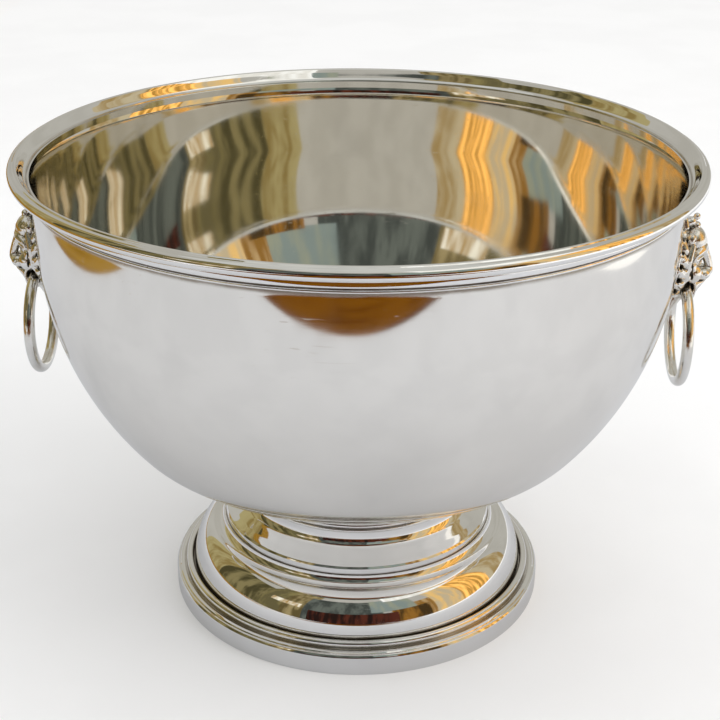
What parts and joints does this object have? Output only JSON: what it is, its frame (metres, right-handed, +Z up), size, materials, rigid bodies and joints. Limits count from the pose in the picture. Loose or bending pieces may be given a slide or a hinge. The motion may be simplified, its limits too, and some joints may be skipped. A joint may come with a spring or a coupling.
{
  "type": "footed champagne bucket",
  "caption": "Round footed silver bucket with a moulded rim, a domed foot on a plinth, and lion masks that hold swinging drop rings.",
  "frame": {"origin": "on the table, under the middle of the foot", "axes": "+Z up out of the bowl; the lion masks and their rings stand on +X (right) and -X (left)"},
  "size_m": [0.3574, 0.34, 0.2438],
  "materials": {
    "silver_polished": "polished silver plate with fine handling scratches",
    "silver_cast": "cast silver with darker hollows"
  },
  "bodies": {
    "vessel": {"bowl": "silver_polished", "rim_flange": "silver_polished", "rim_band": "silver_polished", "rim_reed": "silver_polished", "foot_collar": "silver_polished", "foot_collar_low": "silver_polished", "foot_neck": "silver_polished", "foot_dome": "silver_polished", "foot_bead": "silver_polished", "foot_plinth": "silver_polished", "mask_right": "silver_cast", "mask_left": "silver_cast"},
    "ring_right": {"ring_right": "silver_cast"},
    "ring_left": {"ring_left": "silver_cast"}
  },
  "joints": [
    {"name": "ring_right_swing", "type": "hinge", "parent": "vessel", "child": "ring_right", "pos_m": [0.16543, 0, 0.1752], "axis": [0, -1, 0], "range_deg": [-25, 90]},
    {"name": "ring_left_swing", "type": "hinge", "parent": "vessel", "child": "ring_left", "pos_m": [-0.16543, 0, 0.1752], "axis": [0, 1, 0], "range_deg": [-25, 90]}
  ]
}
